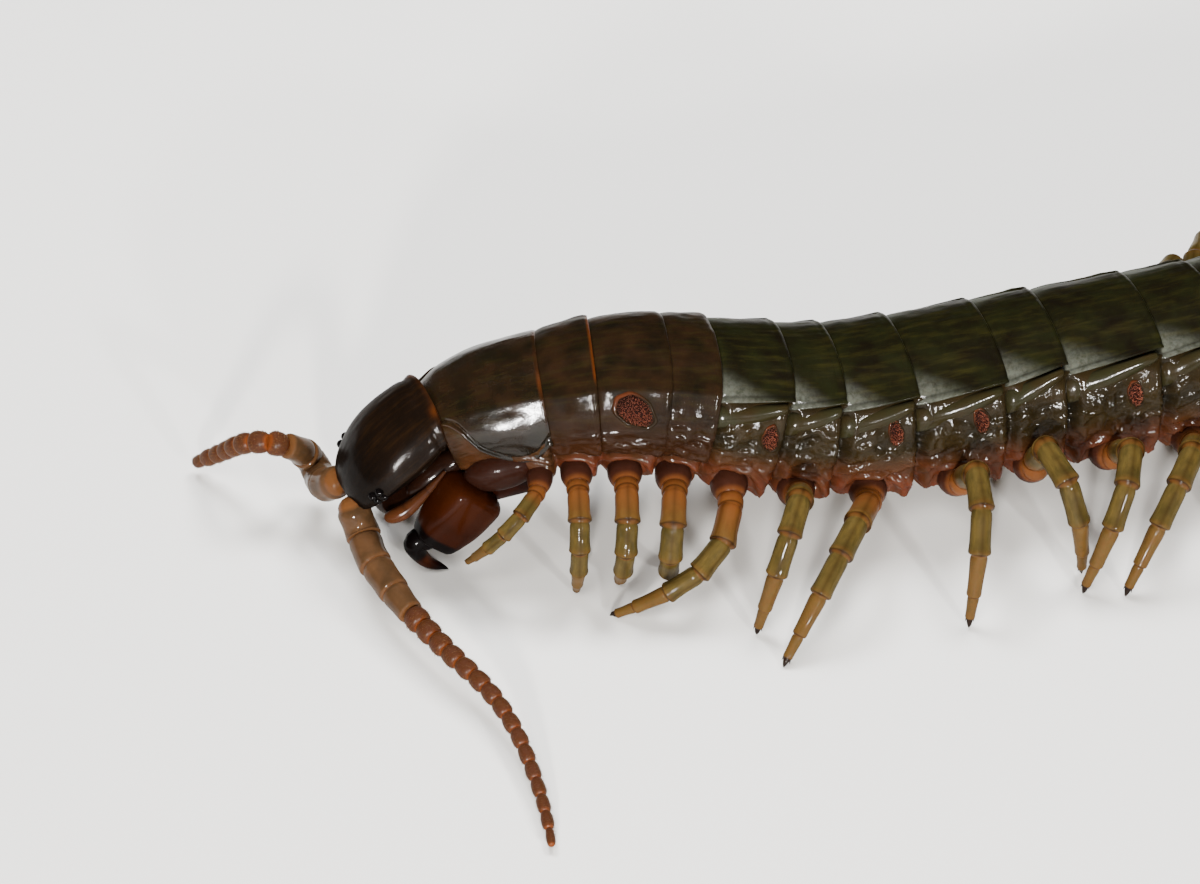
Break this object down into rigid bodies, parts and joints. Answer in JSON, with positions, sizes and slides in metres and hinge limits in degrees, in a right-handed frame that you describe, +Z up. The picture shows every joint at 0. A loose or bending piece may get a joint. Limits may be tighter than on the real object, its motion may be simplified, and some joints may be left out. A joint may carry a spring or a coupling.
{
  "type": "giant centipede",
  "caption": "Life-size model of a large centipede with plated trunk, many legs in mid stride, raised fore body, bent-down head and long beaded feelers.",
  "frame": {"origin": "centre of the bounding box on the floor", "axes": "+X towards the tail, +Z up, -Y towards the animal's left side"},
  "size_m": [0.1782, 0.1068, 0.0201],
  "materials": {
    "trunk_cuticle": "glossy dark olive chitin",
    "leg_cuticle": "glossy olive chitin with orange joints",
    "head_cuticle": "glossy dark brown chitin",
    "forcipule_cuticle": "glossy deep red-brown chitin",
    "ocelli": "glossy black",
    "antenna_cuticle": "satin reddish-brown chitin",
    "mouthparts": "satin orange-brown chitin"
  },
  "bodies": {
    "root": {"antenna_left": "antenna_cuticle", "antenna_right": "antenna_cuticle", "eye_left": "ocelli", "eye_right": "ocelli", "forcipular_plate": "forcipule_cuticle", "forcipule_left": "forcipule_cuticle", "forcipule_right": "forcipule_cuticle", "head": "head_cuticle", "leg_left_01": "leg_cuticle", "leg_left_02": "leg_cuticle", "leg_left_03": "leg_cuticle", "leg_left_04": "leg_cuticle", "leg_left_05": "leg_cuticle", "leg_left_06": "leg_cuticle", "leg_left_07": "leg_cuticle", "leg_left_08": "leg_cuticle", "leg_left_09": "leg_cuticle", "leg_left_10": "leg_cuticle", "leg_left_11": "leg_cuticle", "leg_left_12": "leg_cuticle", "leg_left_13": "leg_cuticle", "leg_left_14": "leg_cuticle", "leg_left_15": "leg_cuticle", "leg_left_16": "leg_cuticle", "leg_left_17": "leg_cuticle", "leg_left_18": "leg_cuticle", "leg_left_19": "leg_cuticle", "leg_left_20": "leg_cuticle", "leg_left_21": "leg_cuticle", "leg_right_01": "leg_cuticle", "leg_right_02": "leg_cuticle", "leg_right_03": "leg_cuticle", "leg_right_04": "leg_cuticle", "leg_right_05": "leg_cuticle", "leg_right_06": "leg_cuticle", "leg_right_07": "leg_cuticle", "leg_right_08": "leg_cuticle", "leg_right_09": "leg_cuticle", "leg_right_10": "leg_cuticle", "leg_right_11": "leg_cuticle", "leg_right_12": "leg_cuticle", "leg_right_13": "leg_cuticle", "leg_right_14": "leg_cuticle", "leg_right_15": "leg_cuticle", "leg_right_16": "leg_cuticle", "leg_right_17": "leg_cuticle", "leg_right_18": "leg_cuticle", "leg_right_19": "leg_cuticle", "leg_right_20": "leg_cuticle", "leg_right_21": "leg_cuticle", "maxillae": "mouthparts", "trunk_01": "trunk_cuticle", "trunk_02_04": "trunk_cuticle", "trunk_05_07": "trunk_cuticle", "trunk_08_09": "trunk_cuticle", "trunk_10_11": "trunk_cuticle", "trunk_12_13": "trunk_cuticle", "trunk_14_16": "trunk_cuticle", "trunk_17_19": "trunk_cuticle", "trunk_20_21": "trunk_cuticle"}
  },
  "joints": []
}
